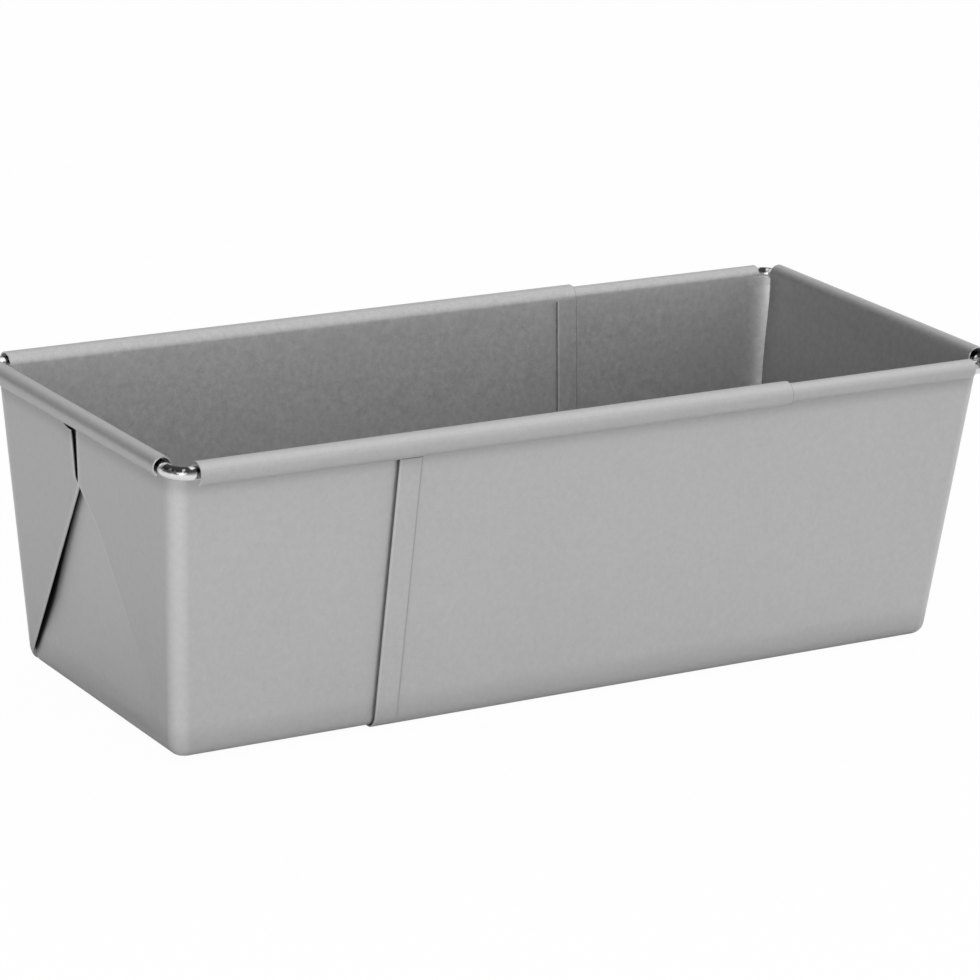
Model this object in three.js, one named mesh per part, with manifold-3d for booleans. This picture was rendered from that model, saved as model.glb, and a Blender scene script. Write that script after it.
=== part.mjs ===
// Adjustable loaf pan: two folded sheet-steel halves that slide into each other, each stiffened
// by a U-shaped wire in its curled rim. Millimetres, Z up, X along the length, base on z = 0.
// Every half is built with its end wall towards +X; the inner half is then turned round.

import * as THREE from 'three';
import { mergeVertices } from 'three/addons/utils/BufferGeometryUtils.js';
import Module from 'manifold-3d';

const wasm = await Module();
wasm.setup();

// Driving dimensions of the pan
const LENGTH = 242; // over both end rims, pulled out as in the photo
const HEIGHT = 78; // table to the top of the inner half's rim
const BASE_WIDTH = 80; // between the outer half's side walls, where they meet the base
const DRAFT = THREE.MathUtils.degToRad(5.6); // lean of all four walls
const OUTER_REACH = 178; // outer half, from its end rim to its free edge
const INNER_REACH = 174.5; // inner half, from its end rim to its free edge
const CORNER_RADIUS = 5; // upright corners, outside
const BASE_FILLET = 4.4; // bend between base and walls, outside

// Sheet, wire and the gaps between them
const SHEET = 0.4;
const SLIDE_GAP = 0.3; // running clearance between the two halves
const WIRE_RADIUS = 1.7;
const WIRE_GAP = 0.3; // wire to the curl that carries it
const END_SLACK = 0.2; // the inner half's end curl is this much looser on its wire

// Curled rims
const LIP_ANGLE = THREE.MathUtils.degToRad(60); // how far the curl closes below its middle
const SIDE_NOTCH_SHORT = 5; // bare wire along the sides, from the crossing of the rim lines
const SIDE_NOTCH_LONG = 7.4; // the curls are cut back unevenly, further on one side than the other
const END_NOTCH_SHORT = 4; // bare wire along the ends, from the crossing of the rim lines
const END_NOTCH_LONG = 6.8;
const WIRE_BEND = 4.5; // bend of the wire's middle line at the corners
const WALL_BELOW_RIM = 2.2; // the sheet's corners stop this far under the rim line
const NECK_OVERLAP = 1; // the curl's sheet runs this far down into its wall
const INNER_ARM = 8; // length of the inner wire held by its side curls
const OUTER_ARM_SHORT = 4; // the outer wire stops this far from the free edge

// Folded ears on the end walls
const EAR_GAP = 0.5; // between the ear and the end wall under it
const FOLD_START = 1.5; // foot of the fold, from the side wall's face at the base
const SEAM_FOOT_SHIFT = -2.8; // the ears' seam is this far off the middle where the folds cross
const SEAM_TOP_SHIFT = -4.2; // and this far off under the rim
const SEAM_FOOT = 1.6; // width of the seam where the folds cross
const SEAM_TOP = 2.6; // width of the seam under the rim
const EAR_BEND = 2; // the ear bears on the wall this far past the corner's round

// Hems on the free edges
const HEM_WIDTH = 6;
const HEM_GAP = 0.15; // between the folded layers
const OUTER_LEAF_DROP = 4; // the outer leaf's top, under the rim line
const INNER_LEAF_DROP = 0.1; // the inner leaf's top, under the rim line
const HEM_FLOOR_GAP = 0.1; // the outer leaf's foot stays this far above the table

// Steps along round stretches
const CORNER_STEPS = 10;
const FILLET_STEPS = 8;
const CURL_STEPS = 24;
const WIRE_SIDES = 18;
const BEND_STEPS = 10;
const HEM_STEPS = 6;

// Values that follow from the driving dimensions
const leanPerHeight = Math.tan(DRAFT);
const perFace = 1 / Math.cos(DRAFT); // level distance for each millimetre square to a wall
const outerBore = WIRE_RADIUS + WIRE_GAP;
const innerBore = outerBore + SHEET + SLIDE_GAP;
const rimLine = HEIGHT - innerBore - SHEET;
const wallTop = rimLine - WALL_BELOW_RIM;
const rimHalfWidth = BASE_WIDTH / 2 + rimLine * leanPerHeight + outerBore * perFace;
const earStack = 2 * SHEET + EAR_GAP;
const earLean = Math.PI / 4 - 2 * DRAFT; // a gusset between drafted walls folds on its bisector
const hemBend = SHEET + HEM_GAP / 2;
const past = 20; // cutters run this far past the sheet

// What differs between the halves: how deep the sheet lies inside the outer half's face, the bores
// of the side and end curls, how low the wire hangs in them, where the free edge is, and how far
// the end curl stops short of the corners to its left and right.
const outerHalf = {
    depth: 0,
    sideBore: outerBore,
    endBore: outerBore,
    wireDrop: 0,
    freeEdge: LENGTH / 2 - OUTER_REACH,
    endNotch: { left: END_NOTCH_SHORT, right: END_NOTCH_LONG },
};
const innerHalf = {
    depth: SHEET + SLIDE_GAP,
    sideBore: innerBore,
    endBore: outerBore + END_SLACK,
    wireDrop: END_SLACK,
    freeEdge: LENGTH / 2 - INNER_REACH,
    endNotch: { left: END_NOTCH_LONG, right: END_NOTCH_SHORT },
};

// Places on the end of a half: the middle line of its end curl, how high that line is, so that
// the rim's crown runs level round the half, and the face of the ears where it meets the table.
function endRimLine(half) {
    return LENGTH / 2 - half.endBore - SHEET;
}

function endRimHeight(half) {
    return rimLine + half.sideBore - half.endBore;
}

function earFace(half) {
    const underRim = (half.endBore - earStack) * perFace;
    return endRimLine(half) - underRim - endRimHeight(half) * leanPerHeight;
}

// A closed solid from a geometry, and a geometry from a solid
function solid(geometry) {
    const bare = geometry.clone();
    bare.deleteAttribute('normal');
    bare.deleteAttribute('uv');
    const merged = mergeVertices(bare.index ? bare.toNonIndexed() : bare, 1e-4);
    const vertProperties = new Float32Array(merged.attributes.position.array);
    const triVerts = new Uint32Array(merged.index.array);
    return new wasm.Manifold(new wasm.Mesh({ numProp: 3, vertProperties, triVerts }));
}

function geometryOf(body) {
    const mesh = body.getMesh();
    const geometry = new THREE.BufferGeometry();
    geometry.setAttribute('position', new THREE.BufferAttribute(mesh.vertProperties, 3));
    geometry.setIndex(new THREE.BufferAttribute(mesh.triVerts, 1));
    geometry.computeVertexNormals();
    return geometry;
}

// A skin over equal rings of points, closed by a face on the first and the last ring
function loft(rings, capFaces) {
    const count = rings[0].length;
    const points = rings.flat();
    const index = [];
    for (let ring = 0; ring < rings.length - 1; ring++) {
        for (let side = 0; side < count; side++) {
            const near = ring * count + side;
            const next = ring * count + (side + 1) % count;
            index.push(near, next, next + count, near, next + count, near + count);
        }
    }
    const last = (rings.length - 1) * count;
    for (const [a, b, c] of capFaces) {
        index.push(a, c, b, last + a, last + b, last + c);
    }
    const geometry = new THREE.BufferGeometry().setFromPoints(points);
    geometry.setIndex(index);
    return solid(geometry);
}

function box(minimum, maximum) {
    const size = new THREE.Vector3().subVectors(maximum, minimum);
    const geometry = new THREE.BoxGeometry(size.x, size.y, size.z);
    const middle = new THREE.Vector3().addVectors(minimum, maximum).divideScalar(2);
    return solid(geometry.translate(middle.x, middle.y, middle.z));
}

// An outline drawn on the end wall, in Y and Z, pushed along X through the end's thickness
function endPrism(half, points) {
    const outline = new THREE.Shape(points.map(([y, z]) => new THREE.Vector2(y, z)));
    const start = earFace(half) - past;
    const depth = 2 * past + rimLine * leanPerHeight;
    const geometry = new THREE.ExtrudeGeometry(outline, { depth, bevelEnabled: false });
    const alongX = new THREE.Matrix4().makeBasis(
        new THREE.Vector3(0, 1, 0),
        new THREE.Vector3(0, 0, 1),
        new THREE.Vector3(1, 0, 0),
    );
    return solid(geometry.applyMatrix4(alongX).translate(start, 0, 0));
}

// A drafted tub with rounded corners and a filleted base, open-ended towards -X.
// sideDepth sets its sides and base inside the outer half's face, endDepth its end inside the ears.
function tub(half, sideDepth, endDepth, top) {
    const fillet = BASE_FILLET - sideDepth;
    const corner = CORNER_RADIUS - sideDepth;
    const wallNormalRun = BASE_FILLET * (leanPerHeight - perFace);
    const filletWidth = BASE_WIDTH / 2 + wallNormalRun;
    const filletEnd = earFace(half) + wallNormalRun + (sideDepth - endDepth) * perFace;

    const levels = [];
    for (let step = 0; step <= FILLET_STEPS; step++) {
        const angle = (step / FILLET_STEPS) * (Math.PI / 2 - DRAFT);
        const run = fillet * Math.sin(angle);
        const inset = fillet * Math.cos(DRAFT) - run;
        levels.push({ run, z: BASE_FILLET - fillet * Math.cos(angle), radius: corner - inset });
    }
    const tangent = levels[levels.length - 1];
    const rise = (top - tangent.z) * leanPerHeight;
    levels.push({ run: tangent.run + rise, z: top, radius: corner });

    const rings = levels.map(({ run, z, radius }) => {
        const width = filletWidth + run;
        const end = filletEnd + run;
        const ring = [new THREE.Vector3(half.freeEdge - past, -width, z)];
        for (const side of [-1, 1]) {
            for (let step = 0; step <= CORNER_STEPS; step++) {
                const turn = (step / CORNER_STEPS) * (Math.PI / 2) + (side < 0 ? -Math.PI / 2 : 0);
                const x = end - radius + radius * Math.cos(turn);
                const y = side * (width - radius) + radius * Math.sin(turn);
                ring.push(new THREE.Vector3(x, y, z));
            }
        }
        ring.push(new THREE.Vector3(half.freeEdge - past, width, z));
        return ring;
    });
    const fan = rings[0].slice(2).map((_, corner) => [0, corner + 1, corner + 2]);
    return loft(rings, fan);
}

// The folded sheet without rims and hems: base, sides, end wall and the two ears lying on it
function foldedSheet(half) {
    const { depth } = half;
    const foot = BASE_WIDTH / 2 - depth * perFace - FOLD_START;
    const apex = foot / Math.tan(earLean);
    const below = past * Math.tan(earLean);
    const openTriangle = endPrism(half, [
        [-foot - below, -past],
        [foot + below, -past],
        [0, apex],
    ]);
    const seam = endPrism(half, [
        [SEAM_FOOT_SHIFT - SEAM_FOOT / 2, apex],
        [SEAM_FOOT_SHIFT, apex - past],
        [SEAM_FOOT_SHIFT + SEAM_FOOT / 2, apex],
        [SEAM_TOP_SHIFT + SEAM_TOP / 2, HEIGHT],
        [SEAM_TOP_SHIFT - SEAM_TOP / 2, HEIGHT],
    ]);

    const slitFoot = BASE_WIDTH / 2 - CORNER_RADIUS - EAR_BEND;
    const slitArea = endPrism(half, [
        [-slitFoot, 0],
        [slitFoot, 0],
        [slitFoot + HEIGHT * leanPerHeight, HEIGHT],
        [-slitFoot - HEIGHT * leanPerHeight, HEIGHT],
    ]);
    const slit = tub(half, depth, 2 * SHEET, HEIGHT).intersect(slitArea);

    const wall = tub(half, depth, earStack, HEIGHT);
    const aroundEars = openTriangle.add(seam).add(slit).subtract(wall);
    const outside = tub(half, depth, 0, wallTop).subtract(aroundEars);
    const cavity = tub(half, depth + SHEET, earStack + SHEET, HEIGHT);
    const beyondEdge = box(
        new THREE.Vector3(half.freeEdge - 2 * past, -BASE_WIDTH, -past),
        new THREE.Vector3(half.freeEdge + hemBend, BASE_WIDTH, HEIGHT + past),
    );
    return outside.subtract(cavity).subtract(beyondEdge);
}

// The sheet's section at the rim: up the wall, outwards over the wire and down to the lip
function curl(bore, height, length, place) {
    const crown = bore + SHEET;
    const start = Math.PI - DRAFT;
    const out = new THREE.Vector2(Math.cos(DRAFT), -Math.sin(DRAFT));
    const up = new THREE.Vector2(Math.sin(DRAFT), Math.cos(DRAFT));
    const neck = (height - wallTop + crown * Math.sin(DRAFT)) * perFace + NECK_OVERLAP;
    const inside = out.clone().multiplyScalar(-crown).addScaledVector(up, -neck);
    const outside = out.clone().multiplyScalar(-bore).addScaledVector(up, -neck);

    const section = new THREE.Shape();
    section.moveTo(inside.x, inside.y);
    section.absarc(0, 0, crown, start, -LIP_ANGLE, true);
    section.absarc(0, 0, bore, -LIP_ANGLE, start, false);
    section.lineTo(outside.x, outside.y);
    section.closePath();
    const settings = { depth: length, bevelEnabled: false, curveSegments: CURL_STEPS };
    return solid(new THREE.ExtrudeGeometry(section, settings).applyMatrix4(place));
}

function rimCurls(half) {
    const up = new THREE.Vector3(0, 0, 1);
    const along = new THREE.Vector3(1, 0, 0);
    const across = new THREE.Vector3(0, 1, 0);
    const end = endRimLine(half);
    const leftLength = end - SIDE_NOTCH_SHORT - half.freeEdge;
    const rightLength = end - SIDE_NOTCH_LONG - half.freeEdge;
    const leftStop = rimHalfWidth - half.endNotch.left;
    const rightStop = rimHalfWidth - half.endNotch.right;

    const left = new THREE.Matrix4().makeBasis(across, up, along);
    left.setPosition(half.freeEdge, rimHalfWidth, rimLine);
    const right = new THREE.Matrix4().makeBasis(across.clone().negate(), up, along.clone().negate());
    right.setPosition(half.freeEdge + rightLength, -rimHalfWidth, rimLine);
    const front = new THREE.Matrix4().makeBasis(along, up, across.clone().negate());
    front.setPosition(end, leftStop, endRimHeight(half));

    return curl(half.sideBore, rimLine, leftLength, left)
        .add(curl(half.sideBore, rimLine, rightLength, right))
        .add(curl(half.endBore, endRimHeight(half), leftStop + rightStop, front));
}

// Places down one side of the pan's section, from the leaf's top to the given angle on the fillet:
// each has a point on the outer half's face and the direction square to the sheet, inwards.
function sectionPlaces(leafDrop, lowestAngle) {
    const top = rimLine - leafDrop;
    const wall = new THREE.Vector2(BASE_WIDTH / 2 + top * leanPerHeight, top);
    const middle = new THREE.Vector2(BASE_WIDTH / 2 + BASE_FILLET * (leanPerHeight - perFace), BASE_FILLET);
    const tangent = Math.PI / 2 - DRAFT;
    const places = [{ point: wall, inward: new THREE.Vector2(-Math.cos(DRAFT), Math.sin(DRAFT)) }];
    for (let step = 0; step <= FILLET_STEPS; step++) {
        const angle = THREE.MathUtils.lerp(tangent, lowestAngle, step / FILLET_STEPS);
        const inward = new THREE.Vector2(-Math.sin(angle), Math.cos(angle));
        places.push({ point: middle.clone().addScaledVector(inward, -BASE_FILLET), inward });
    }
    return places;
}

function mirrored(places) {
    const flip = ({ x, y }) => new THREE.Vector2(-x, y);
    return places.map(({ point, inward }) => ({ point: flip(point), inward: flip(inward) }));
}

// A hem: the sheet's edge turned over and laid flat on one face. The section runs from the wall
// round the fold and along the leaf; `away` is +1 for a leaf inside the pan and -1 for one outside.
function hem(half, places, away) {
    const face = away > 0 ? half.depth : half.depth + SHEET;
    const middle = face + away * hemBend;
    const fold = half.freeEdge + hemBend;
    const section = [[fold + SHEET, face], [fold, face]];
    for (let step = 1; step <= HEM_STEPS; step++) {
        const turn = (step / HEM_STEPS) * Math.PI;
        section.push([
            fold - hemBend * Math.sin(turn),
            middle - away * hemBend * Math.cos(turn),
        ]);
    }
    section.push([half.freeEdge + HEM_WIDTH, middle + away * hemBend]);
    section.push([half.freeEdge + HEM_WIDTH, middle + away * HEM_GAP / 2]);
    section.push([fold, middle + away * HEM_GAP / 2]);
    section.push([fold, middle - away * HEM_GAP / 2]);
    section.push([fold + SHEET, middle - away * HEM_GAP / 2]);
    if (away > 0) {
        section.reverse();
    }

    const rings = places.map(({ point, inward }) => section.map(([x, depth]) => {
        const onSheet = point.clone().addScaledVector(inward, depth);
        return new THREE.Vector3(x, onSheet.x, onSheet.y);
    }));
    const outline = section.map(([x, depth]) => new THREE.Vector2(x, depth));
    const caps = THREE.ShapeUtils.triangulateShape(outline, []);
    return loft(rings, caps);
}

// The middle line of a U-shaped wire: one step for each straight, several for each bend
class WireLine extends THREE.Curve {
    constructor(armEnd, end, halfWidth, height) {
        super();
        const turnX = end - WIRE_BEND;
        const turnY = halfWidth - WIRE_BEND;
        this.points = [new THREE.Vector3(armEnd, -halfWidth, height)];
        for (const side of [-1, 1]) {
            for (let step = 0; step <= BEND_STEPS; step++) {
                const turn = (step / BEND_STEPS) * (Math.PI / 2) + (side < 0 ? -Math.PI / 2 : 0);
                const x = turnX + WIRE_BEND * Math.cos(turn);
                const y = side * turnY + WIRE_BEND * Math.sin(turn);
                this.points.push(new THREE.Vector3(x, y, height));
            }
        }
        this.points.push(new THREE.Vector3(armEnd, halfWidth, height));
    }

    get steps() {
        return this.points.length - 1;
    }

    getPoint(t, target = new THREE.Vector3()) {
        const place = t * this.steps;
        const index = Math.min(Math.floor(place), this.steps - 1);
        return target.lerpVectors(this.points[index], this.points[index + 1], place - index);
    }

    getUtoTmapping(u) {
        return u;
    }
}

function rimWire(half, armEnd) {
    const line = new WireLine(armEnd, endRimLine(half), rimHalfWidth, endRimHeight(half) - half.wireDrop);
    const round = new THREE.Shape().absarc(0, 0, WIRE_RADIUS, 0, 2 * Math.PI);
    const settings = { steps: line.steps, extrudePath: line, curveSegments: WIRE_SIDES };
    return new THREE.ExtrudeGeometry(round, settings);
}

// Satin silver coating on the sheet, bright plating on the wires
function coatedSteel() {
    return new THREE.MeshStandardMaterial({ color: 0xb4b5b6, roughness: 0.42, metalness: 0.85 });
}

function brightWire() {
    return new THREE.MeshStandardMaterial({ color: 0xdfe1e3, roughness: 0.12, metalness: 1 });
}

function part(name, geometry, material) {
    const mesh = new THREE.Mesh(geometry, material);
    mesh.name = name;
    return mesh;
}

// Outer half: its hem is folded outwards and runs out on the base's bend, so the base lies flat
const outerLeaf = BASE_FILLET + HEM_GAP + SHEET;
const leafFoot = Math.acos((BASE_FILLET - HEM_FLOOR_GAP) / outerLeaf);
const outerSide = sectionPlaces(OUTER_LEAF_DROP, leafFoot);
const outerShell = foldedSheet(outerHalf)
    .add(rimCurls(outerHalf))
    .add(hem(outerHalf, outerSide, -1))
    .add(hem(outerHalf, mirrored(outerSide).reverse(), -1));
const outerArmEnd = outerHalf.freeEdge + OUTER_ARM_SHORT;

// Inner half: its hem is folded inwards and runs on across the base
const innerSide = sectionPlaces(INNER_LEAF_DROP, 0);
const innerShell = foldedSheet(innerHalf)
    .add(rimCurls(innerHalf))
    .add(hem(innerHalf, [...innerSide, ...mirrored(innerSide).reverse()], 1));
const innerArmEnd = endRimLine(innerHalf) - SIDE_NOTCH_LONG - INNER_ARM;

const outerGroup = new THREE.Group();
outerGroup.add(part('outer_half_shell', geometryOf(outerShell), coatedSteel()));
outerGroup.add(part('outer_rim_wire', rimWire(outerHalf, outerArmEnd), brightWire()));

const innerGroup = new THREE.Group();
innerGroup.add(part('inner_half_shell', geometryOf(innerShell), coatedSteel()));
innerGroup.add(part('inner_rim_wire', rimWire(innerHalf, innerArmEnd), brightWire()));
innerGroup.rotation.z = Math.PI;

const loafPan = new THREE.Group();
loafPan.add(outerGroup, innerGroup);

export default loafPan;
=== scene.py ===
import math

import bpy
import numpy as np
from mathutils import Matrix, Vector


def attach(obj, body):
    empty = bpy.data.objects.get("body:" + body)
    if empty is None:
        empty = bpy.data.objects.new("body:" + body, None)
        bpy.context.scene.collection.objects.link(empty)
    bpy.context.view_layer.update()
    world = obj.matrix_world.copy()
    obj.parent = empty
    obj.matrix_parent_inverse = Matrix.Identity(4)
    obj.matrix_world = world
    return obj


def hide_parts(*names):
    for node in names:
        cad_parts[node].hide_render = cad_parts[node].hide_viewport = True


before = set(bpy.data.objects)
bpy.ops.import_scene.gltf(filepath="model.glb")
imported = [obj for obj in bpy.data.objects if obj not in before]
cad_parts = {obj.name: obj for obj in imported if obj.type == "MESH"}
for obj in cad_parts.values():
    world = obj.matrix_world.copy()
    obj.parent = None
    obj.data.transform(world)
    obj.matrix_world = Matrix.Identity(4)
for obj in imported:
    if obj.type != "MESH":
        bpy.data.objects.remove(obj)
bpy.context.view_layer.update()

# The outer half's sheet: one thin coated steel blank, its walls bent up round the base, its corner gussets
# folded flat onto the end wall, its rims curled over a wire and its free edge hemmed outwards. Sizes are in
# millimetres and the end wall faces +X; the inner half, of the same folds, is turned round when placed.
MM = 0.001
LENGTH = 242.0
HEIGHT = 78.0
BASE_WIDTH = 80.0
DRAFT = math.radians(5.6)
OUTER_REACH = 178.0
CORNER_RADIUS = 5.0
BASE_FILLET = 3.6
SHEET = 0.4
SLIDE_GAP = 0.3
WIRE_RADIUS = 1.7
WIRE_GAP = 0.3
LIP_ANGLE = math.radians(60)
SIDE_NOTCH_SHORT = 5.0
SIDE_NOTCH_LONG = 7.4
END_NOTCH_SHORT = 4.0
END_NOTCH_LONG = 6.8
WALL_BELOW_RIM = 2.2
COLLAR_TOP = 74.8
COLLAR_TUCK = 0.3
EAR_STACK = 1.3
OUTER_STEEPER = 2.0
OUTER_END_SLACK = 0.3
FOLD_START = 1.5
FOLD_RUN = {1: 0.669, -1: 0.607}
EAR_TIP = {1: 2.6, -1: 0.0}
SEAM_FOOT = {1: -3.6, -1: 5.0}
SEAM_TOP = {1: -2.9, -1: 5.5}
SEAM_START = 1.5
PINCH_HEIGHT = 9.0
FOLD_TIGHT = 0.05
FOLD_LOOSE = 0.2
LIFT_HEIGHT = 5.0
CREASE_HEIGHT = 10.0
CREASE_ALONG = 3.2
CREASE_ACROSS = 0.4
TUCK_WIDTH = 8.0
EAR_LAP = 0.3
EAR_DIP = 1.9
FAR_GAPE = 1.1
END_SAG = 0.9
LINING_SET = 0.5
STIFF_SIDE = 16.0
STIFF_END = 14.0
RIPPLE = 0.045
END_PHASE = 1.9
OUTSIDE_PHASE = 0.7
INSIDE_PHASES = {1: 2.6, -1: 4.4}
HEM_WIDTH = 6.0
HEM_GAP = 0.15
LEAF_SPRING = 0.12
LEAF_ROUND = 0.4
OUTER_LEAF_DROP = 4.0
PRESSED_FOOT = 4.0

# The shades that are painted in, as shares of full dark, and the heights that two of them reach.
BASE_SHADE = 0.29
BASE_SHADE_HEIGHT = 9.0
LIP_SHADE = 0.2
LIP_SHADE_START = 67.5
LIP_SHADE_FULL = 71.5
EAR_SHADE = 0.08
END_SHADE = 0.34
CURL_SHADE = 0.1
FREE_EDGE_SHADE = 0.4

# How finely the mesh follows the sheet.
BEND_ROWS = 11
WALL_ROWS = 89
COLLAR_ROWS = 4
COLLAR_POINTS = 13
LEAF_ROWS = 31
LEAF_BEND_ROWS = 13
SIDE_POINTS = 73
CORNER_POINTS = 16
EAR_POINTS = 28
FOLD_POINTS = 8
TUCK_STEPS = (0.2, 0.5, 1.0)
END_POINTS = 121
BARE_CORNER_POINTS = 13
LINING_FOLD_POINTS = 9
CURL_POINTS = 49
HEM_BEND_POINTS = 13
HEM_EDGE_POINTS = 7
SHARP_ANGLE = math.radians(38)

lean = math.tan(DRAFT)
per_face = 1 / math.cos(DRAFT)
outer_bore = WIRE_RADIUS + WIRE_GAP
inner_bore = outer_bore + SHEET + SLIDE_GAP
rim_line = HEIGHT - inner_bore - SHEET
wall_top = rim_line - WALL_BELOW_RIM
rim_half_width = BASE_WIDTH / 2 + rim_line * lean + outer_bore * per_face
hem_bend = SHEET + HEM_GAP / 2


class Half:
    """Where one half's sheet lies: its depth inside the outer face, its curls, folds and free edge."""

    def __init__(self, depth, side_bore, end_bore, reach, side_notch, end_notch, far_side, steeper):
        self.depth = depth
        self.far_side = far_side
        self.steeper = steeper
        self.side_bore = side_bore
        self.end_bore = end_bore
        self.free_edge = LENGTH / 2 - reach
        self.end_rim = LENGTH / 2 - end_bore - SHEET
        self.end_rim_height = rim_line + inner_bore - end_bore
        under_rim = (end_bore - EAR_STACK) * per_face
        self.ear_face = self.end_rim - under_rim - self.end_rim_height * lean
        self.side_stop = {side: self.end_rim - side_notch[side] for side in (1, -1)}
        self.end_stop = {side: rim_half_width - end_notch[side] for side in (1, -1)}
        self.fold_foot = BASE_WIDTH / 2 - depth * per_face - FOLD_START
        self.apex = self.fold_foot / FOLD_RUN[1]


class Sheet:
    """Points and faces of a piece, gathered strip by strip, each point marked for wear and painted highlight,
    side and painted shade.
    """

    def __init__(self):
        self.points = []
        self.faces = []
        self.marks = {"rubbed": [], "inside": [], "hidden": []}

    def mark(self, shape, **values):
        """Gives new points their marks: wear and painted highlight at folds and edges, inside the pan, and
        painted shade.
        """
        for label, kept in self.marks.items():
            kept.extend(np.broadcast_to(values.get(label, 0.0), shape).ravel())

    def strip(self, rows, flip=False, **marks):
        """Joins rows of points with four-sided faces."""
        rows = np.asarray(rows, float)
        count, width = rows.shape[:2]
        first = len(self.points)
        self.points.extend(rows.reshape(-1, 3))
        self.mark((count, width), **marks)
        for row in range(count - 1):
            for column in range(width - 1):
                near = first + row * width + column
                face = (near, near + 1, near + 1 + width, near + width)
                self.faces.append(face[::-1] if flip else face)

    def plate(self, outline, flip=False, **marks):
        """Closes an outline with one face."""
        first = len(self.points)
        self.points.extend(np.asarray(outline, float))
        self.mark((len(outline),), **marks)
        face = tuple(range(first, len(self.points)))
        self.faces.append(face[::-1] if flip else face)

    def piece(self, name, turned):
        """Makes the object, turned half round where it belongs to the inner half."""
        turn = np.array([-1, -1, 1]) if turned else np.array([1, 1, 1])
        mesh = bpy.data.meshes.new(name)
        mesh.from_pydata(np.array(self.points) * turn * MM, [], self.faces)
        mesh.shade_smooth()
        mesh.set_sharp_from_angle(angle=SHARP_ANGLE)
        for label, values in self.marks.items():
            attribute = mesh.attributes.new(label, "FLOAT", "POINT")
            attribute.data.foreach_set("value", np.array(values, np.float32))
        made = bpy.data.objects.new(name, mesh)
        bpy.context.scene.collection.objects.link(made)
        return made


def ease(low, high, value):
    """A smooth step from 0 at low to 1 at high."""
    share = np.clip((value - low) / (high - low), 0, 1)
    return share * share * (3 - 2 * share)


def lifted(height):
    """How far the end wall has gone in behind the ears' level, from the base up."""
    return ease(0, LIFT_HEIGHT, height)


def drawn_in(half, side, height):
    """How deep a corner lies at its foot: the far one is drawn in to the end wall, the near one not."""
    return EAR_STACK * (1 - lifted(height)) * (side == half.far_side)


def outside_shade(height):
    """Painted shade on the outside, darker towards the base and under the curls' lips, where shade falls."""
    low = BASE_SHADE * np.clip(1 - height / BASE_SHADE_HEIGHT, 0, 1)
    return low + LIP_SHADE * ease(LIP_SHADE_START, LIP_SHADE_FULL, height)


def levels(side_depth, top=wall_top):
    """Heights of the sheet's rows from the base up, with how far each stands out and its corner radius."""
    fillet = BASE_FILLET - side_depth
    corner = CORNER_RADIUS - side_depth
    rows = []
    for angle in np.linspace(0, math.pi / 2 - DRAFT, BEND_ROWS):
        run = fillet * math.sin(angle)
        inset = fillet * math.cos(DRAFT) - run
        rows.append((run, BASE_FILLET - fillet * math.cos(angle), corner - inset))
    bent_run, bent_height, _ = rows[-1]
    for height in np.linspace(bent_height, top, WALL_ROWS)[1:]:
        rows.append((bent_run + (height - bent_height) * lean, height, corner))
    return rows


def wall_places(half, side_depth, end_depth, level):
    """How far out the side wall and the end wall stand at a level, with its height and corner radius."""
    run, height, radius = level
    foot = BASE_FILLET * (lean - per_face)
    width = BASE_WIDTH / 2 + foot + run
    steeper = half.steeper * (1 - height / wall_top)
    end = half.ear_face + foot + (side_depth - end_depth) * per_face + run + steeper
    return width, end, height, radius


def ripple(along, height, phase):
    """The slight unevenness of a thin bent wall, fading out at its stiff edges."""
    fade = np.sin(math.pi * np.clip(height / wall_top, 0, 1)) ** 2
    slow = np.sin(along * 0.047 + phase) + 0.6 * np.sin(along * 0.083 + height * 0.03 + 2.1 * phase)
    return RIPPLE * fade * slow


def side_line(half, width, end, height, radius, side, phase):
    """One row along a side wall, from the hem to the corner."""
    start = half.free_edge + hem_bend
    stop = end - radius
    x = np.linspace(start, stop, SIDE_POINTS)
    fade = ease(0, STIFF_SIDE, x - start) * ease(0, STIFF_SIDE, stop - x)
    y = width + fade * ripple(x, height, phase)
    return np.stack([x, side * y, np.full_like(x, height)], 1)


def ear_edge(half, height, side):
    """How far from the middle line an ear's folded edge, and above it its seam, lies at a height."""
    tip = EAR_TIP[side] * ease(half.apex - PINCH_HEIGHT, half.apex + 1, height)
    fold = half.fold_foot - height * FOLD_RUN[side] - tip
    foot = half.apex + SEAM_START
    rise = np.clip((height - foot) / (wall_top - foot), 0, 1)
    seam = SEAM_FOOT[side] + (SEAM_TOP[side] - SEAM_FOOT[side]) * rise
    return fold + (seam - fold) * ease(foot - 0.7, foot + 1, height)


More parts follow.
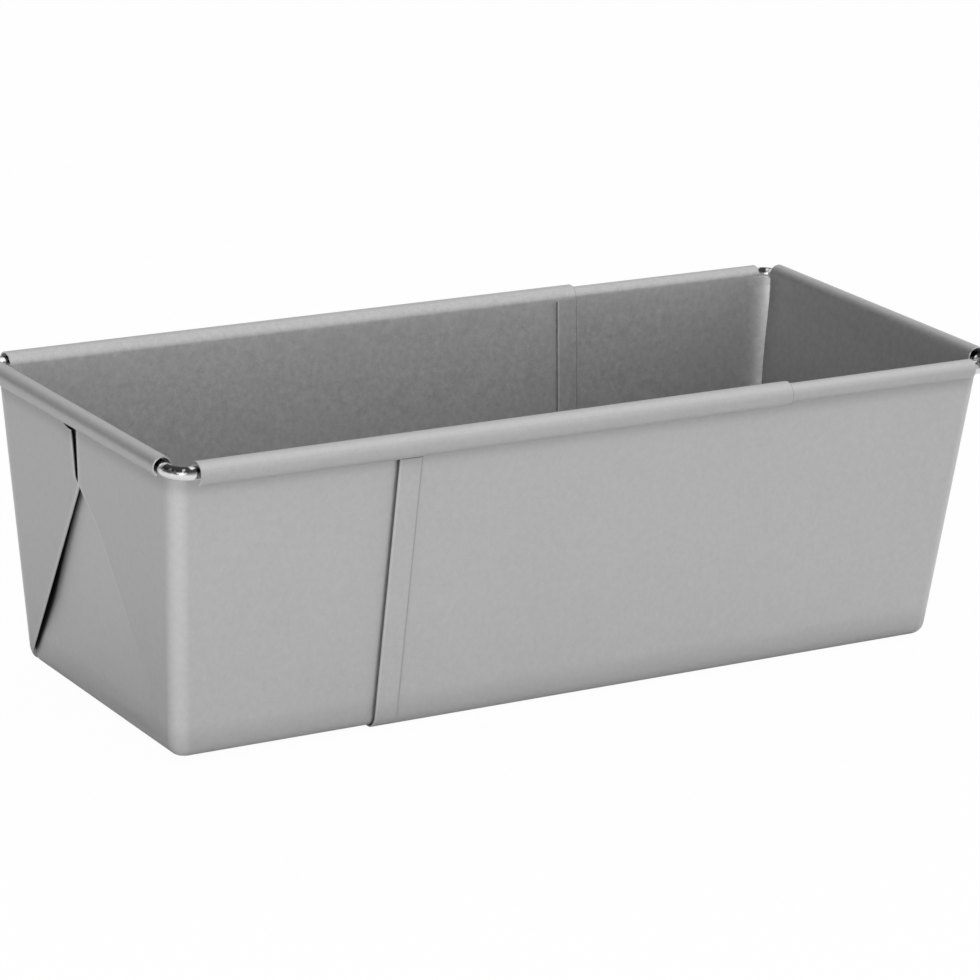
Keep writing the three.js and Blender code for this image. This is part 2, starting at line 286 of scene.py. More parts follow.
def ear_line(half, level, side):
    """One row of the corner and its ear: round the corner, over the end, round the fold and back under."""
    height = level[1]
    settle = lifted(height)
    cut = ease(half.apex - 3, half.apex + 1, height)
    width, end, _, radius = wall_places(half, half.depth, drawn_in(half, side, height), level)
    bend = FOLD_TIGHT + FOLD_LOOSE * settle - FOLD_TIGHT * cut
    flat_start = width - radius
    edge = ear_edge(half, height, side) + bend
    turn = math.acos(np.clip((edge - flat_start) / radius, 0, 1))
    angles = np.linspace(0, turn, CORNER_POINTS + 1)[1:]
    x = list(end - radius + radius * np.sin(angles))
    y = list(flat_start + radius * np.cos(angles))
    last = y[-1]
    flat = last + (min(edge, last) - last) * np.linspace(0, 1, EAR_POINTS + 1)[1:]
    x += [x[-1]] * len(flat)
    y += list(flat)
    front = x[-1]
    for angle in np.linspace(0, math.pi, FOLD_POINTS + 1)[1:]:
        x.append(front - bend * (1 - math.cos(angle)) * per_face)
        y.append(flat[-1] - bend * math.sin(angle) ** (1 - 0.85 * cut))
    room = np.clip(flat_start - flat[-1], 0, TUCK_WIDTH)
    wall_gap = (EAR_STACK * settle - 2 * bend) * per_face * ease(8, 3, height)
    under = x[-1]
    for back in TUCK_STEPS:
        x.append(under - 0.06 * back - wall_gap * back)
        y.append(flat[-1] + back * room)
    x, y = np.array(x), np.array(y)
    z = np.full_like(x, height)
    if side < 0:
        z -= EAR_DIP * (height / wall_top) ** 12 * ease(9, 0, y - edge)
    return np.stack([x, side * y, z], 1)


def slack(half, height, y, edge):
    """How far the end wall sags in behind the ears, most of it low down and at the foot of the far side."""
    foot = EAR_STACK * (1 - lifted(height)) * (0.5 + 0.5 * half.far_side * y / edge)
    upright = ease(2, 7, height) * ease(60, 10, height)
    return foot + END_SAG * upright * ease(0, STIFF_END, edge - abs(y))


def end_line(half, level):
    """One row across the end wall's outer face, with as much of the corners as the ears leave bare."""
    behind = EAR_STACK * lifted(level[1])
    width, end, height, radius = wall_places(half, half.depth, behind, level)
    bare = max(ear_edge(half, height, 1), ear_edge(half, height, -1)) + EAR_LAP + radius - width
    angles = np.linspace(math.acos(np.clip(bare / radius, 0, 1)), math.pi / 2, BARE_CORNER_POINTS)
    corner_x = radius * (np.sin(angles) - 1)
    corner_y = width - radius + radius * np.cos(angles)
    y = np.linspace(corner_y[-1], -corner_y[-1], END_POINTS)
    fade = ease(0, STIFF_END, corner_y[-1] - abs(y))
    x = end + fade * ripple(y, height, END_PHASE) - slack(half, height, y, corner_y[-1])
    x = np.concatenate([x[0] + corner_x, x[1:-1], x[-1] + corner_x[::-1]])
    y = np.concatenate([corner_y, y[1:-1], -corner_y[::-1]])
    return np.stack([x, y, np.full_like(x, height)], 1)


def under_ears(half, row):
    """How deep under an ear each point of an end wall's row lies, from 0 in the open to 1."""
    height = row[0][2]
    depth = np.zeros(len(row))
    for side in (1, -1):
        gape = FAR_GAPE * ease(50, 12, height) * (side == half.far_side)
        past_edge = side * row[:, 1] - ear_edge(half, height, side) + gape
        depth = np.maximum(depth, ease(0.2, 1.4, past_edge))
    return ease(2, 7, height) * depth


def corner_round(half, level, side):
    """The side wall's inner round at a corner, and how far in front of its end the end wall's face lies."""
    settle = ease(0, CREASE_HEIGHT, level[1])
    depth = SHEET + drawn_in(half, side, level[1])
    width, end, height, radius = wall_places(half, half.depth + SHEET, depth, level)
    behind = EAR_STACK * lifted(height) + LINING_SET * settle * ease(wall_top, 50, height)
    in_front = behind * per_face
    return width, end, height, radius + CREASE_ALONG * settle, radius + CREASE_ACROSS * settle, in_front


def side_lining(half, level, side, phase):
    """One row of a side wall's inner face, going on round the corner to behind the end wall's fold."""
    width, end, height, along, across, in_front = corner_round(half, level, side)
    line = side_line(half, width, end, height, along, side, phase)
    turn = math.asin(np.clip(1 - in_front / along, 0, 1)) + 0.4 * ease(0, 6, height)
    angles = np.linspace(0, turn, CORNER_POINTS + 1)[1:]
    x = end - along + along * np.sin(angles)
    y = side * (width - across + across * np.cos(angles))
    return np.concatenate([line, np.stack([x, y, np.full_like(x, height)], 1)])


def end_lining(half, level):
    """One row of the end wall's inner face, with the tight upright folds at its two edges."""
    width, end, height, along, across, in_front = corner_round(half, level, -half.far_side)
    settle = ease(0, CREASE_HEIGHT, height)
    fold = 0.04 + 0.1 * settle
    turn = math.asin(np.clip(1 - in_front / along, 0, 1))
    edge = width - across + across * math.cos(turn) - 0.04 * settle - fold
    round_fold = np.linspace(math.pi, 0, LINING_FOLD_POINTS)
    fold_x = fold * (1 - np.cos(round_fold))
    fold_y = edge + fold * np.sin(round_fold)
    y = np.linspace(edge, -edge, END_POINTS)
    fade = ease(0, STIFF_END, edge - abs(y))
    x = end - in_front + fade * ripple(y, height, END_PHASE) - slack(half, height, y, edge)
    folds = [x[0] + fold_x[:1], x[0] + fold_x, x[1:-1], x[-1] + fold_x[::-1], x[-1] + fold_x[:1]]
    x = np.concatenate(folds)
    y = np.concatenate([[edge - 3], fold_y, y[1:-1], -fold_y[::-1], [3 - edge]])
    return np.stack([x, y, np.full_like(x, height)], 1)


def corner_lines(half, side, height):
    """The corner's outer and inner line at a height, from under one curl to under the next."""
    steps = np.linspace(0, 1, COLLAR_POINTS)
    width, end, _, radius = wall_places(half, half.depth, 0, levels(half.depth, height)[-1])
    turn = steps * math.pi / 2
    side_stop = half.side_stop[side] - COLLAR_TUCK
    end_stop = half.end_stop[side] - COLLAR_TUCK
    outer_x = np.concatenate([[side_stop], end - radius + radius * np.sin(turn), [end]])
    outer_y = np.concatenate([[width], width - radius + radius * np.cos(turn), [end_stop]])
    width, end, _, along, across, in_front = corner_round(half, levels(half.depth + SHEET, height)[-1], side)
    turn = steps * math.asin(1 - in_front / along)
    face = end - in_front
    inner_x = np.concatenate([[side_stop], end - along + along * np.sin(turn), [face]])
    inner_y = np.concatenate([[width], width - across + across * np.cos(turn), [end_stop]])
    level = np.full_like(outer_x, height)
    return np.stack([outer_x, side * outer_y, level], 1), np.stack([inner_x, side * inner_y, level], 1)


def folded_sheet(sheet, half):
    """Base, walls, ears and cut edges of a half, as an outer and an inner skin."""
    skin = levels(half.depth)
    lining = levels(half.depth + SHEET)
    corner = slice(SIDE_POINTS, SIDE_POINTS + CORNER_POINTS)
    turned_under = FOLD_POINTS + len(TUCK_STEPS)
    fold = slice(-turned_under - 1, -turned_under + FOLD_POINTS // 2)
    underside = slice(-len(TUCK_STEPS) - 3, None)
    for side in (1, -1):
        rows = []
        for level in skin:
            places = wall_places(half, half.depth, drawn_in(half, side, level[1]), level)
            sides = side_line(half, *places, side, OUTSIDE_PHASE)
            rows.append(np.concatenate([sides, ear_line(half, level, side)]))
        # Painted highlight, partly wear, on the corner's round and on the ears' folds.
        wear_highlight_marks = np.zeros(rows[0].shape[0])
        wear_highlight_marks[corner] = np.sin(np.linspace(0, math.pi, CORNER_POINTS))
        wear_highlight_marks[fold] = 0.8
        # Painted shade: darker towards the base, under the lips, over the ears and on the ears' tucked
        # undersides.
        hidden = np.array([np.full(len(wear_highlight_marks), outside_shade(height)) for _, height, _ in skin])
        hidden[:, corner.stop :] += EAR_SHADE
        hidden[:, underside] = [[ease(3, 9, height)] for _, height, _ in skin]
        sheet.strip(rows, flip=side > 0, rubbed=wear_highlight_marks, hidden=hidden)
    wall = [end_line(half, level) for level in skin]
    # Painted shade on the end wall next to and under the ears' edges, and towards the base.
    hidden = [np.maximum(under_ears(half, row), outside_shade(row[0][2])) for row in wall]
    sheet.strip(wall, flip=True, hidden=hidden)

    # Painted shade where the inner face tucks in behind the end wall's fold.
    tucked = np.array([[ease(4, CREASE_HEIGHT, height)] for _, height, _ in lining])
    crease = slice(SIDE_POINTS + 3, SIDE_POINTS + 13)
    for side, phase in INSIDE_PHASES.items():
        rows = [side_lining(half, level, side, phase) for level in lining]
        hidden = np.zeros((len(rows), len(rows[0])))
        hidden[:, -4:] = tucked
        # Painted highlight, partly wear, along the inner corner's crease.
        wear_highlight_marks = np.zeros(rows[0].shape[0])
        wear_highlight_marks[crease] = np.linspace(0.1, 2.0, 10)
        sheet.strip(rows, flip=side < 0, inside=1.0, hidden=hidden, rubbed=wear_highlight_marks)
    end = [end_lining(half, level) for level in lining]
    # Painted shade over the end wall's whole inner face, deepest at its tucked folds.
    hidden = np.full((len(end), len(end[0])), END_SHADE)
    hidden[:, [0, 1, -2, -1]] = np.maximum(tucked, END_SHADE)
    sheet.strip(end, inside=1.0, hidden=hidden)

    start = half.free_edge + hem_bend
    width, height = wall[0][0][1:]
    under = [[start, width, height], *wall[0], [start, -width, height]]
    sheet.plate(under, flip=True)
    width, _, height, _ = wall_places(half, half.depth + SHEET, 0, lining[0])
    across = end[0][LINING_FOLD_POINTS + 1 : -LINING_FOLD_POINTS - 1]
    edges = [(start, width), (across[0][0], width), *across[:, :2], (across[-1][0], -width), (start, -width)]
    sheet.plate([(x, y, height) for x, y in reversed(edges)], inside=1.0)

    outer_cut, inner_cut = [], []
    for side in (1, -1):
        order = slice(None, None, -1) if side > 0 else slice(None)
        for cut, rows, depth in ((outer_cut, skin, half.depth), (inner_cut, lining, half.depth + SHEET)):
            for level in rows[order]:
                width, _, height, _ = wall_places(half, depth, 0, level)
                cut.append([start, side * width, height])
    sheet.strip([outer_cut, inner_cut], flip=True)
    for side in (1, -1):
        heights = np.linspace(wall_top, COLLAR_TOP, COLLAR_ROWS)
        collar = [corner_lines(half, side, height) for height in heights]
        sheet.strip([outer_line for outer_line, _ in collar], flip=side > 0, rubbed=0.5)
        sheet.strip([inner_line for _, inner_line in collar], flip=side < 0, rubbed=0.5, inside=1.0)
        sheet.strip(collar[-1], flip=side < 0, rubbed=0.6)


def curl_section(bore, neck):
    """A curled rim's section: up the wall, outwards over the wire and down to the lip, there and back."""
    crown = bore + SHEET
    out = np.array([math.cos(DRAFT), -math.sin(DRAFT)])
    up = np.array([math.sin(DRAFT), math.cos(DRAFT)])
    angles = np.linspace(math.pi - DRAFT, -LIP_ANGLE, CURL_POINTS)
    arc = np.stack([np.cos(angles), np.sin(angles)], 1)
    foot = np.array([-crown * out - neck * up, -bore * out - neck * up])
    over = np.concatenate([[foot[0]], crown * arc])
    under = np.concatenate([[foot[1]], bore * arc])
    middle = (bore + SHEET / 2) * arc[-1]
    past = np.array([math.sin(-LIP_ANGLE), -math.cos(-LIP_ANGLE)])
    turn = np.linspace(0, math.pi, 7)[1:-1, None]
    lip = middle + SHEET / 2 * (np.cos(turn) * arc[-1] + np.sin(turn) * past)
    return over, lip, under


def curl(sheet, bore, height, start, stop, place, shade=0.0, free_edge=math.inf):
    """One curled rim along a wall, with painted shade on its inside and lower half, and a painted dark line
    at the sheet's free edge.

    place(along, out, up) puts a point of its section into the half.
    """
    neck = (height - wall_top + (bore + SHEET) * math.sin(DRAFT)) * per_face
    over, lip, under = curl_section(bore, neck)
    section = np.concatenate([over, lip, under[::-1]])
    count = len(over)
    inward_points = 22
    crown = slice(12, 30)
    outward_points = (23, 30)
    # Painted highlight, partly wear, on the lip's edge and more faintly on the crown.
    wear_highlight_marks = np.zeros(len(section))
    wear_highlight_marks[count - 3 : count + len(lip) + 2] = 0.7
    wear_highlight_marks[crown] = 0.25
    # Painted shade on the curl's inner side and its turned-down outer half, and a painted dark line along the
    # free edge.
    shelter = np.zeros(len(section))
    shelter[:inward_points] = ease(inward_points, 4, np.arange(inward_points))
    turned_down = np.zeros(len(section))
    turned_down[:count] = CURL_SHADE * ease(*outward_points, np.arange(count))
    shares = np.concatenate([[0, 0.0016], np.linspace(0, 1, 97)[1:-1], [0.9984, 1]])
    rows, hidden = [], []
    for along in start + (stop - start) * shares:
        at_free_edge = abs(along - free_edge) < 0.01
        rows.append([place(along, out, up) for out, up in section])
        hidden.append(shelter * shade + turned_down + FREE_EDGE_SHADE * at_free_edge)
    sheet.strip(rows, rubbed=wear_highlight_marks, inside=shelter, hidden=hidden)
    for along, flip in ((start, True), (stop, False)):
        caps = [[place(along, *point) for point in over], [place(along, *point) for point in under]]
        sheet.strip(caps, flip=flip, rubbed=0.6)


def rim_curls(sheet, half):
    """The three curls of a half, one along each side wall and one along the end wall."""

    def on_side(side):
        return lambda along, out, up: (along, side * (rim_half_width + out), rim_line + up)

    def on_end(along, out, up):
        return (half.end_rim + out, -along, half.end_rim_height + up)

    ends = half.side_stop[1], half.free_edge
    curl(sheet, half.side_bore, rim_line, *ends, on_side(1), 0.0, half.free_edge)
    ends = half.free_edge, half.side_stop[-1]
    curl(sheet, half.side_bore, rim_line, *ends, on_side(-1), 0.0, half.free_edge)
    ends = -half.end_stop[1], half.end_stop[-1]
    curl(sheet, half.end_bore, half.end_rim_height, *ends, on_end, END_SHADE)


def section_places(leaf_drop, lowest_angle):
    """Places down one side, from the hem's top to an angle on the base bend, with the inward direction."""
    top = rim_line - leaf_drop
    middle = np.array([BASE_WIDTH / 2 + BASE_FILLET * (lean - per_face), BASE_FILLET])
    inward = np.array([-math.cos(DRAFT), math.sin(DRAFT)])
    upper = np.array([BASE_WIDTH / 2 + top * lean, top])
    lower = middle - BASE_FILLET * inward
    places = [(upper + (lower - upper) * share, inward) for share in np.linspace(0, 1, LEAF_ROWS)[:-1]]
    for angle in np.linspace(math.pi / 2 - DRAFT, lowest_angle, LEAF_BEND_ROWS):
        inward = np.array([-math.sin(angle), math.cos(angle)])
        places.append((middle - BASE_FILLET * inward, inward))
    return places


def mirrored(places):
    """The same places on the other side wall."""
    flip = np.array([-1, 1])
    return [(point * flip, inward * flip) for point, inward in places]


def hem(sheet, half, places, away):
    """The free edge turned over flat onto one face: away is 1 for a leaf inside and -1 for one outside."""
    face = half.depth if away > 0 else half.depth + SHEET
    middle = face + away * hem_bend
    fold = half.free_edge + hem_bend
    leaf_edge = half.free_edge + HEM_WIDTH
    section = []
    for turn in np.linspace(0, math.pi, HEM_BEND_POINTS):
        section.append((fold - hem_bend * math.sin(turn), middle - away * hem_bend * math.cos(turn)))
    section.append((leaf_edge - LEAF_ROUND, middle + away * (HEM_GAP / 2 + LEAF_SPRING + SHEET)))
    for turn in np.linspace(0, math.pi, HEM_EDGE_POINTS):
        depth = middle + away * (HEM_GAP / 2 + LEAF_SPRING + SHEET / 2 * (1 + math.cos(turn)))
        section.append((leaf_edge + SHEET / 2 * math.sin(turn), depth))
    section.append((fold, middle + away * HEM_GAP / 2))
    bend_foot = slice(0, 6)
    bend_front = slice(6, 11)
    bend_back = slice(8, 12)
    leaf_end = slice(HEM_BEND_POINTS + 1, HEM_BEND_POINTS + HEM_EDGE_POINTS)
    # Painted shade in the hem's gap and at the outer leaf's edge; painted highlight, partly wear, on the
    # inner leaf's edge and the outer bend's back.
    wear_highlight_marks = np.zeros(len(section))
    wear_highlight_marks[leaf_end] = 0.8 * (away > 0)
    wear_highlight_marks[bend_back] = 0.5 * (away < 0)
    shaded = np.zeros(len(section))
    shaded[bend_front] = 0.5 * (away > 0)
    shaded[bend_foot] = 0.9 * (away < 0)
    shaded[leaf_end] = 0.3 * (away < 0)
    rows = []
    for point, inward in places:
        press = ease(0, PRESSED_FOOT, point[1]) if away < 0 else 1.0
        depths = [(x, face + (depth - face) * (0.25 + 0.75 * press)) for x, depth in section]
        rows.append([(x, *(point + inward * depth)) for x, depth in depths])
    # Painted shade towards the base on the outer leaf.
    low = np.array([[outside_shade(point[1])] for point, _ in places])
    hidden = shaded if away > 0 else np.maximum(low, shaded)
    sheet.strip(rows, flip=away < 0, rubbed=wear_highlight_marks, inside=float(away > 0), hidden=hidden)
    for row, flip in ((rows[0], away < 0), (rows[-1], away > 0)):
        sheet.plate(row, flip=flip)


side_notch = {1: SIDE_NOTCH_SHORT, -1: SIDE_NOTCH_LONG}
end_notch = {1: END_NOTCH_SHORT, -1: END_NOTCH_LONG}
outer_bores = outer_bore, outer_bore + OUTER_END_SLACK
outer = Half(0.0, *outer_bores, OUTER_REACH, side_notch, end_notch, 1, OUTER_STEEPER)
outer_sheet = Sheet()
folded_sheet(outer_sheet, outer)
rim_curls(outer_sheet, outer)
leaf_foot = math.acos((BASE_FILLET - 0.1) / (BASE_FILLET + HEM_GAP + SHEET))
outer_side = section_places(OUTER_LEAF_DROP, leaf_foot)
hem(outer_sheet, outer, outer_side, -1)
hem(outer_sheet, outer, mirrored(outer_side)[::-1], -1)
outer_half = outer_sheet.piece("outer_half_sheet", False)


class Tone:
    """A shader socket that can be used in sums, and that makes the nodes that follow it."""

    def __init__(self, tree, socket=None):
        self.tree = tree
        self.socket = socket

    def node(self, kind, settings=None, inputs=None, output=0):
        """Adds a node: its settings first, then a value or a link for each of its sockets."""
        made = self.tree.nodes.new(kind)
        for name, value in (settings or {}).items():
            if name == "stops":
                ramp = made.color_ramp.elements
                while len(ramp) < len(value):
                    ramp.new(1.0)
                for stop, (place, grey) in zip(ramp, value):
                    stop.position = place
                    stop.color = (grey, grey, grey, 1)
            else:
                setattr(made, name, value)
        for name, value in (inputs or {}).items():
            if isinstance(value, Tone):
                self.tree.links.new(value.socket, made.inputs[name])
            else:
                made.inputs[name].default_value = value
        return Tone(self.tree, made.outputs[output] if made.outputs else None)

    def maths(self, operation, first, second):
        return self.node("ShaderNodeMath", {"operation": operation}, {0: first, 1: second})

    def mixed(self, share, first, second):
        inputs = {0: share, 6: first, 7: second}
        return self.node("ShaderNodeMix", {"data_type": "RGBA"}, inputs, output=2)

    def __add__(self, other):
        return self.maths("ADD", self, other)

    def __radd__(self, other):
        return self.maths("ADD", other, self)

    def __sub__(self, other):
        return self.maths("SUBTRACT", self, other)

    def __rsub__(self, other):
        return self.maths("SUBTRACT", other, self)

    def __mul__(self, other):
        return self.maths("MULTIPLY", self, other)

    def __rmul__(self, other):
        return self.maths("MULTIPLY", other, self)


def noise(tone, place, scale, detail):
    return tone.node("ShaderNodeTexNoise", {}, {"Vector": place, "Scale": scale, "Detail": detail})


def coated_steel():
    """Satin silver coating: metallic grains in a thin baked film, finely mottled, with wear and painted
    highlights at the folds, and painted shade.
    """
    film_dark = (0.4, 0.4, 0.405, 1)
    film_pale = (0.8, 0.8, 0.805, 1)
    painted_deep_shade = (0.04, 0.04, 0.041, 1)
    material = bpy.data.materials.new("coated_steel")
    material.use_nodes = True
    tree = material.node_tree
    tree.nodes.clear()
    tone = Tone(tree)
    place = tone.node("ShaderNodeTexCoord", output=3)
    rubbed = tone.node("ShaderNodeAttribute", {"attribute_name": "rubbed"}, output=2)
    inside = tone.node("ShaderNodeAttribute", {"attribute_name": "inside"}, output=2)
    hidden = tone.node("ShaderNodeAttribute", {"attribute_name": "hidden"}, output=2)
    grain = noise(tone, place, 2600.0, 1.0) - 0.5
    mottle = noise(tone, place, 620.0, 2.0) - 0.5
    cloud = noise(tone, place, 22.0, 2.0) - 0.5
    speckle = (grain + mottle * 1.4) * (0.5 + inside * 0.6)
    # The film is lightened by the wear mark, which also carries painted highlights on corners, folds, creases
    # and edges.
    shade = 0.36 + speckle * 0.3 + cloud * 0.08 + rubbed * 0.28
    film = tone.mixed(shade, film_dark, film_pale)
    # The film is darkened towards near black by painted shade and painted dark reflections.
    colour = tone.mixed(hidden, film, painted_deep_shade)
    roughness = 0.42 + inside * 0.06 + mottle * 0.16 + cloud * 0.05 - rubbed * 0.08
    height = grain * 0.6 + mottle
    bump = tone.node("ShaderNodeBump", {}, {"Strength": 0.12, "Distance": 0.0001, "Height": height})
    steel = tone.node(
        "ShaderNodeBsdfPrincipled",
        {},
        {"Base Color": colour, "Roughness": roughness, "Metallic": 0.72 + inside * 0.1, "Normal": bump},
    )
    tone.node("ShaderNodeOutputMaterial", {}, {"Surface": steel})
    return material


coating = coated_steel()
outer_half.data.materials.append(coating)
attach(outer_half, "outer_half")
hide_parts("outer_half_shell")


# The outer half's rim wire: a plated round wire bent into a U, held in the curled rim all the way
# round and bare only where the curls are notched out at the two corners.
WIRE_BEND = 4.5
OUTER_ARM_SHORT = 4.0
ARM_POINTS = 8
BEND_POINTS = 25
ROUNDED_END = (0.85, 0.55, 0.0)


def wire_piece(name, half, arm_end, height, turned):
    """A U of round wire with rounded ends; its upper side is marked for painted dark reflections there."""
    turn_x = half.end_rim - WIRE_BEND
    turn_y = rim_half_width - WIRE_BEND
    line = []
    for x in np.linspace(arm_end, turn_x, ARM_POINTS + 1)[:-1]:
        line.append((x, -rim_half_width, 1.0, 0.0))
    for angle in np.linspace(-math.pi / 2, 0, BEND_POINTS):
        x = turn_x + WIRE_BEND * math.cos(angle)
        line.append((x, -turn_y + WIRE_BEND * math.sin(angle), -math.sin(angle), math.cos(angle)))
    for y in np.linspace(-turn_y, turn_y, ARM_POINTS + 1)[1:-1]:
        line.append((half.end_rim, y, 0.0, 1.0))
    arm_and_bend = line[: ARM_POINTS + BEND_POINTS]
    line += [(x, -y, -ahead_x, ahead_y) for x, y, ahead_x, ahead_y in reversed(arm_and_bend)]
    round_wire = np.linspace(0, 2 * math.pi, 37)
    wire = Sheet()
    rows = []
    for x, y, ahead_x, ahead_y in line:
        across = np.array([ahead_y, -ahead_x, 0.0])
        ring = np.outer(np.cos(round_wire), across) + np.outer(np.sin(round_wire), [0, 0, 1])
        rows.append(np.array([x, y, height]) + WIRE_RADIUS * ring)
    first_mid = np.array([*line[0][:2], height])
    last_mid = np.array([*line[-1][:2], height])
    for share in ROUNDED_END:
        rows.insert(0, first_mid + (rows[0] - first_mid) * share)
        rows.append(last_mid + (rows[-1] - last_mid) * share)
    # Painted dark reflections: the wire's upper side is marked to darken in patches.
    wire.strip(rows, hidden=ease(-0.1, 0.5, np.sin(round_wire)))
    return wire.piece(name, turned)


def bright_wire():
    """Bright plating on drawn wire: mirror-like, a little dulled, with painted dark reflections in patches on
    its upper side.
    """
    painted_dark_reflection = (0.05, 0.05, 0.053, 1)
    bright_metal = (0.92, 0.92, 0.925, 1)
    material = bpy.data.materials.new("rim_wire")
    material.use_nodes = True
    tree = material.node_tree
    tree.nodes.clear()
    tone = Tone(tree)
    place = tone.node("ShaderNodeTexCoord", output=3)
    dull = noise(tone, place, 900.0, 3.0)
    upper = tone.node("ShaderNodeAttribute", {"attribute_name": "hidden"}, output=2)
    blotch = noise(tone, place, 420.0, 1.0)
    patch = tone.node("ShaderNodeValToRGB", {"stops": [(0.47, 0.0), (0.57, 1.0)]}, {0: blotch})
    # Painted dark reflections in patches on the upper side; the rest keeps the bright plating.
    colour = tone.mixed(1.0 - upper * (1.0 - patch), painted_dark_reflection, bright_metal)
    bump = tone.node("ShaderNodeBump", {}, {"Strength": 0.05, "Distance": 0.0001, "Height": dull})
    plating = tone.node(
        "ShaderNodeBsdfPrincipled",
        {},
        {"Base Color": colour, "Roughness": 0.06 + dull * 0.08, "Metallic": 1.0, "Normal": bump},
    )
    tone.node("ShaderNodeOutputMaterial", {}, {"Surface": plating})
    return material


plating = bright_wire()
outer_wire = wire_piece("outer_wire", outer, outer.free_edge + OUTER_ARM_SHORT, rim_line, False)
outer_wire.data.materials.append(plating)
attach(outer_wire, "outer_half")
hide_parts("outer_rim_wire")


# The inner half's sheet: the same folded blank, one sheet and a running gap smaller, with wider side
# curls that wrap over the outer half's rim, and a hem turned inwards that crosses the base.
INNER_REACH = 174.5
END_SLACK = 0.2
INNER_LEAF_DROP = 0.1
INNER_NOTCH = 5.6
INNER_STEEPER = 0.6

side_notch = {1: SIDE_NOTCH_SHORT, -1: INNER_NOTCH}
end_notch = {1: END_NOTCH_LONG, -1: END_NOTCH_SHORT}
inner_bores = inner_bore, outer_bore + END_SLACK
inner = Half(SHEET + SLIDE_GAP, *inner_bores, INNER_REACH, side_notch, end_notch, -1, INNER_STEEPER)
inner_sheet = Sheet()
folded_sheet(inner_sheet, inner)
rim_curls(inner_sheet, inner)
inner_side = section_places(INNER_LEAF_DROP, 0.0)
hem(inner_sheet, inner, inner_side + mirrored(inner_side)[::-1], 1)
inner_half = inner_sheet.piece("inner_half_sheet", True)
inner_half.data.materials.append(coating)
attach(inner_half, "inner_half")
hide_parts("inner_half_shell")


# The inner half's rim wire: a short-armed U of the same plated wire, so that the side curls beyond
# its arms stay hollow for the outer half's rim to slide in.
INNER_ARM = 8.0

arm_end = inner.end_rim - SIDE_NOTCH_LONG - INNER_ARM
inner_wire = wire_piece("inner_wire", inner, arm_end, inner.end_rim_height - END_SLACK, True)
inner_wire.data.materials.append(plating)
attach(inner_wire, "inner_half")
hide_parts("inner_rim_wire")


# The studio: a wide white floor that carries the pan's soft shadow, a pale soft sky that is bright to
# the right, in front and above and falls off to the back left, and one broad lamp high at the left.
FLOOR_REACH = 14.0
FLOOR_LEVEL = -0.0002
BRIGHT_SIDE = (0.55, -0.3, 0.6)
SKY_STOPS = [(0.3, 0.24), (0.45, 0.34), (0.64, 0.68), (0.82, 0.82), (0.9, 1.04)]

floor_mesh = bpy.data.meshes.new("floor")
turns = [(-1, -1), (1, -1), (1, 1), (-1, 1)]
corners = [(x * FLOOR_REACH, y * FLOOR_REACH, FLOOR_LEVEL) for x, y in turns]
floor_mesh.from_pydata(corners, [], [(0, 1, 2, 3)])
floor = bpy.data.objects.new("floor", floor_mesh)
bpy.context.scene.collection.objects.link(floor)

floor_white = bpy.data.materials.new("floor_white")
floor_white.use_nodes = True
floor_white.node_tree.nodes.clear()
tone = Tone(floor_white.node_tree)
camera_ray = tone.node("ShaderNodeLightPath", output="Is Camera Ray")
glossy_ray = tone.node("ShaderNodeLightPath", output="Is Glossy Ray")
through_ray = tone.node("ShaderNodeLightPath", output="Is Transmission Ray")
white_share = camera_ray * 0.97 + glossy_ray * 0.05 + through_ray * 0.97
paper = tone.node("ShaderNodeBsdfDiffuse", {}, {"Color": (0.88, 0.88, 0.88, 1)})
glow = tone.node("ShaderNodeEmission", {}, {"Color": (1, 1, 1, 1), "Strength": 1.0})
blend = tone.node("ShaderNodeMixShader", {}, {0: white_share, 1: paper, 2: glow})
tone.node("ShaderNodeOutputMaterial", {}, {"Surface": blend})
floor_mesh.materials.append(floor_white)

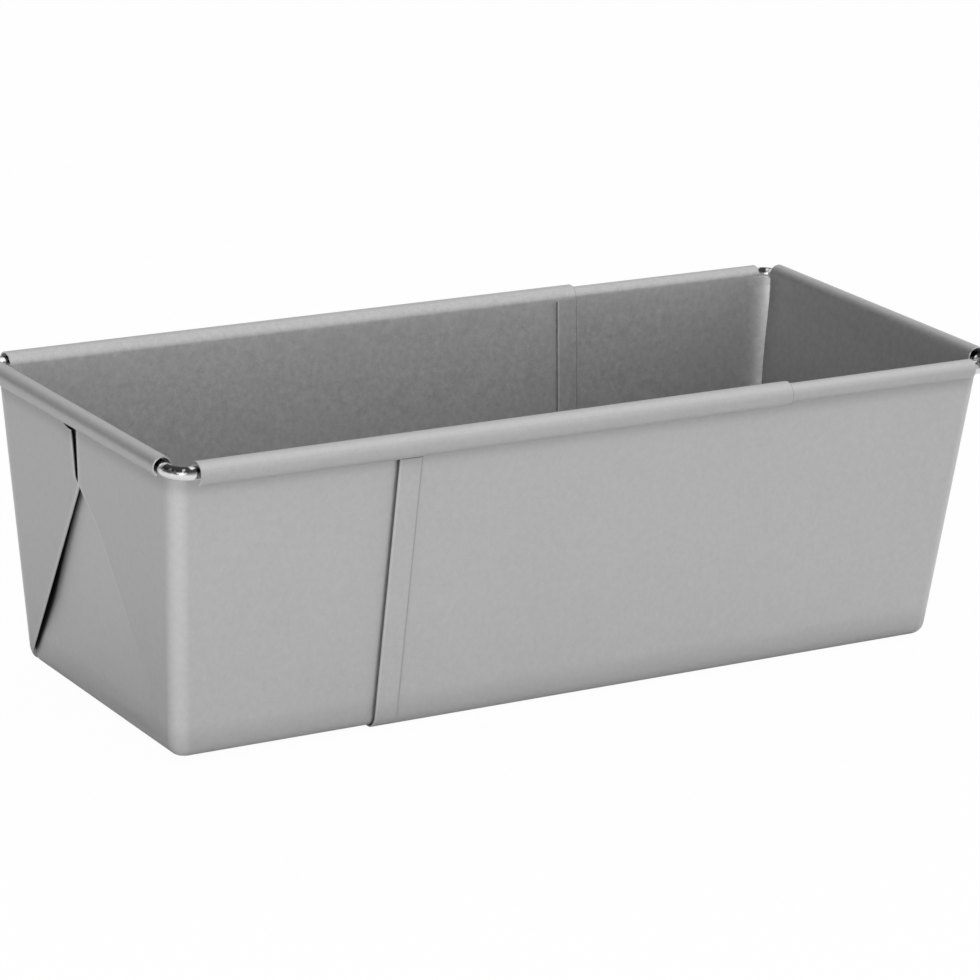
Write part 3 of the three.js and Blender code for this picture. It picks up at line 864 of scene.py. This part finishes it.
sky = bpy.data.worlds.new("sky")
sky.use_nodes = True
sky.node_tree.nodes.clear()
tone = Tone(sky.node_tree)
direction = tone.node("ShaderNodeTexCoord", output=0)
to_light = tone.node(
    "ShaderNodeVectorMath", {"operation": "DOT_PRODUCT"}, {0: direction, 1: BRIGHT_SIDE}, output=1
)
glow = tone.node("ShaderNodeValToRGB", {"stops": SKY_STOPS}, {0: to_light * 0.5 + 0.5})
camera_ray = tone.node("ShaderNodeLightPath", output="Is Camera Ray")
sky_colour = tone.mixed(camera_ray, glow, (1, 1, 1, 1))
light = tone.node("ShaderNodeBackground", {}, {"Color": sky_colour, "Strength": 1.0})
tone.node("ShaderNodeOutputWorld", {}, {"Surface": light})
bpy.context.scene.world = sky

lamp = bpy.data.lights.new("left_lamp", "AREA")
lamp.shape = "DISK"
lamp.size = 1.3
lamp.energy = 9.0
left_lamp = bpy.data.objects.new("left_lamp", lamp)
left_lamp.location = (-1.05, -1.2, 0.72)
left_lamp.rotation_euler = Vector(left_lamp.location).to_track_quat("Z", "Y").to_euler()
bpy.context.scene.collection.objects.link(left_lamp)


# The camera: a long lens from the front left, a little above the rim and held slightly out of level. Its
# numbers were fitted to the lines of the pan's rims, walls and base; angles are in radians, places in metres.
FOCAL_PIXELS = 4664.4
IMAGE_PIXELS = 980
SENSOR_WIDTH = 36.0
HEADING = 0.5753
DIP = 0.3046
ROLL = 0.0485
CAMERA_PLACE = (-0.61221, -0.94298, 0.39564)

forward = np.array([math.sin(HEADING) * math.cos(DIP), math.cos(HEADING) * math.cos(DIP), -math.sin(DIP)])
level_right = np.array([math.cos(HEADING), -math.sin(HEADING), 0.0])
level_down = np.cross(forward, level_right)
right = math.cos(ROLL) * level_right - math.sin(ROLL) * level_down
down = math.sin(ROLL) * level_right + math.cos(ROLL) * level_down
lens = bpy.data.cameras.new("camera")
lens.sensor_width = SENSOR_WIDTH
lens.lens = FOCAL_PIXELS / IMAGE_PIXELS * SENSOR_WIDTH
camera = bpy.data.objects.new("camera", lens)
place = np.eye(4)
place[:3, :3] = np.stack([right, -down, -forward], 1)
place[:3, 3] = CAMERA_PLACE
camera.matrix_world = Matrix(place.tolist())
bpy.context.scene.collection.objects.link(camera)
bpy.context.scene.camera = camera
bpy.context.scene.view_settings.view_transform = "Standard"
